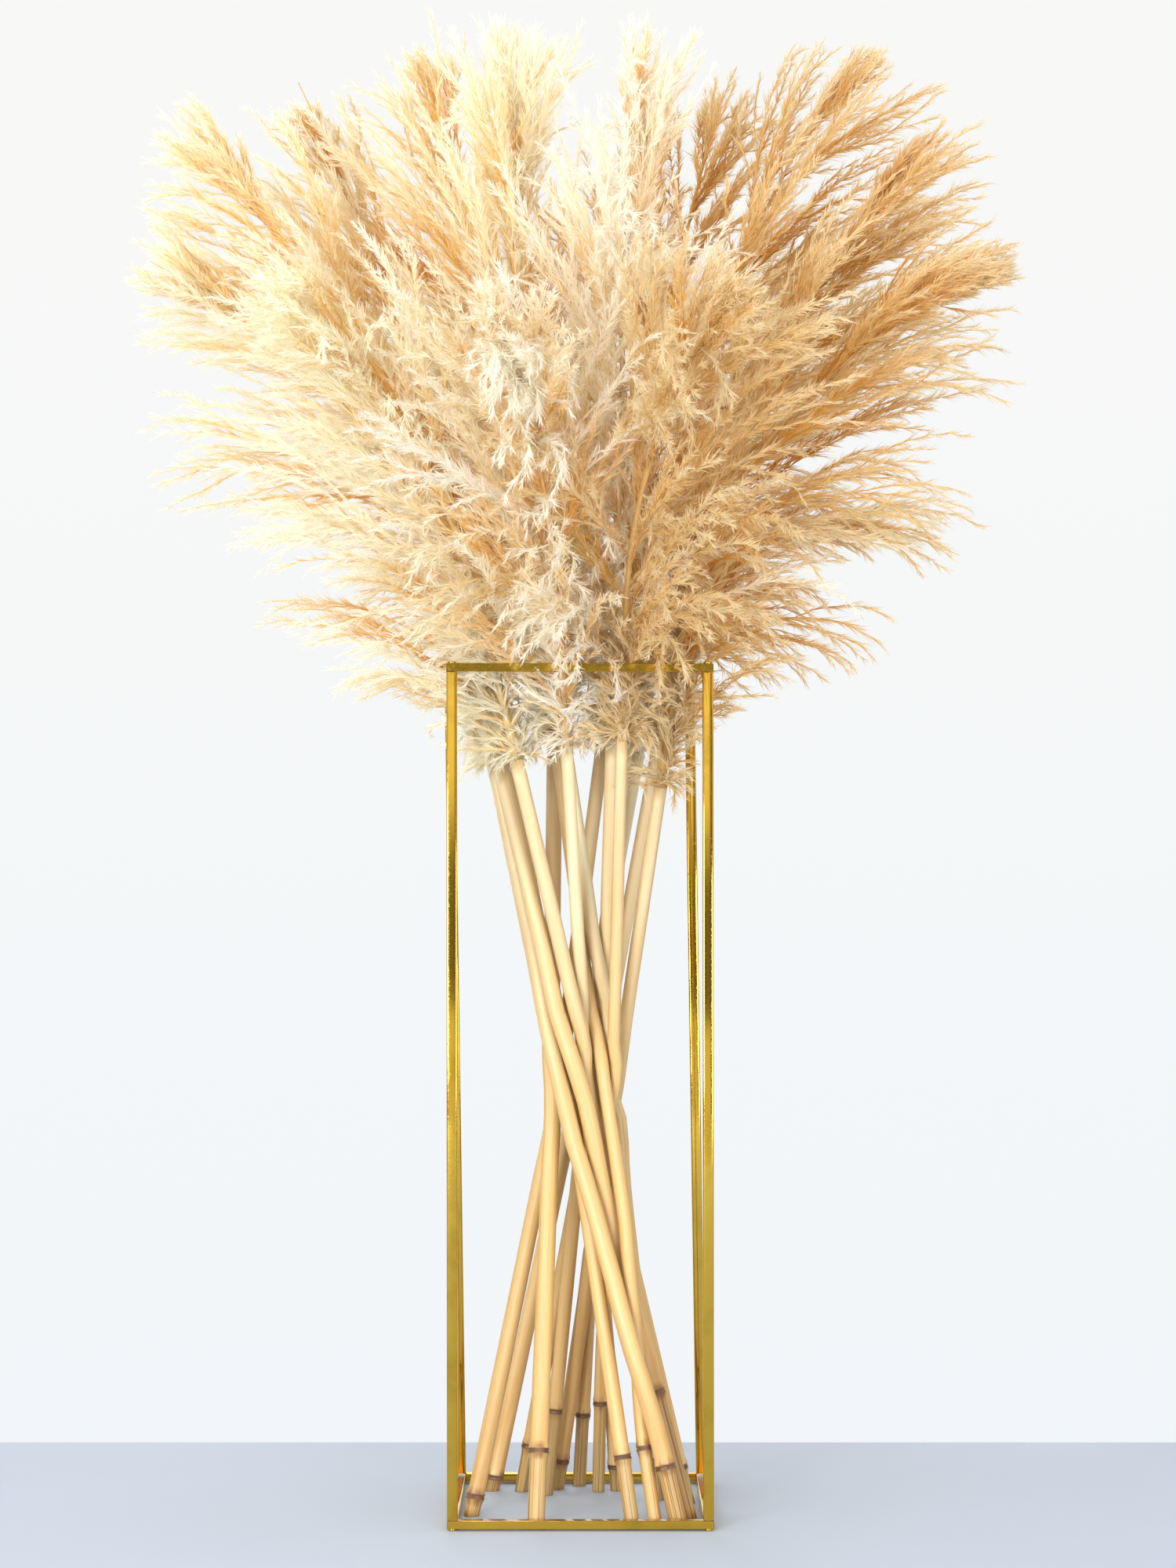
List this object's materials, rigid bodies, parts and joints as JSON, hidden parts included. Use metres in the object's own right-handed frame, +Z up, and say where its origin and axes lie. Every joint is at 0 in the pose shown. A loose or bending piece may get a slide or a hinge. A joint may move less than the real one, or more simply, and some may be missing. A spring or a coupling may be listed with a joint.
{
  "type": "bundle of pampas grass in an open stand",
  "caption": "Twisted bundle of dried pampas grass stems with large feathery plumes, standing in a tall open stand of square gold-coloured metal tube.",
  "frame": {"origin": "on the floor, under the middle of the object's box, which is the middle of the stand to within a few millimetres", "axes": "+Z up; -Y is the front of the stand, +X its right side seen from the front"},
  "size_m": [0.8093, 0.7667, 1.4389],
  "materials": {
    "gold_tube": "polished gold-coloured plating on square tube",
    "screw": "satin gold-coloured low screw heads",
    "dried_stem": "dried cane, satin, browner at the foot, with dark joints",
    "dried_plume": "dried feathery grass flowers, cream to tan, soft and matt"
  },
  "bodies": {
    "root": {"bottom_ring_front_bar": "gold_tube", "bottom_ring_right_bar": "gold_tube", "bottom_ring_back_bar": "gold_tube", "bottom_ring_left_bar": "gold_tube", "top_ring_front_bar": "gold_tube", "top_ring_right_bar": "gold_tube", "top_ring_back_bar": "gold_tube", "top_ring_left_bar": "gold_tube", "post_front_left": "gold_tube", "screw_top_front_left": "screw", "screw_bottom_front_left": "screw", "post_front_right": "gold_tube", "screw_top_front_right": "screw", "screw_bottom_front_right": "screw", "post_back_right": "gold_tube", "screw_top_back_right": "screw", "screw_bottom_back_right": "screw", "post_back_left": "gold_tube", "screw_top_back_left": "screw", "screw_bottom_back_left": "screw", "stem_01": "dried_stem", "plume_01": "dried_plume", "stem_02": "dried_stem", "plume_02": "dried_plume", "stem_03": "dried_stem", "plume_03": "dried_plume", "stem_04": "dried_stem", "plume_04": "dried_plume", "stem_05": "dried_stem", "plume_05": "dried_plume", "stem_06": "dried_stem", "plume_06": "dried_plume", "stem_07": "dried_stem", "plume_07": "dried_plume", "stem_08": "dried_stem", "plume_08": "dried_plume", "stem_09": "dried_stem", "plume_09": "dried_plume", "stem_10": "dried_stem", "plume_10": "dried_plume", "stem_11": "dried_stem", "plume_11": "dried_plume", "stem_12": "dried_stem", "plume_12": "dried_plume", "stem_13": "dried_stem", "plume_13": "dried_plume", "stem_14": "dried_stem", "plume_14": "dried_plume", "stem_15": "dried_stem", "plume_15": "dried_plume"}
  },
  "joints": []
}
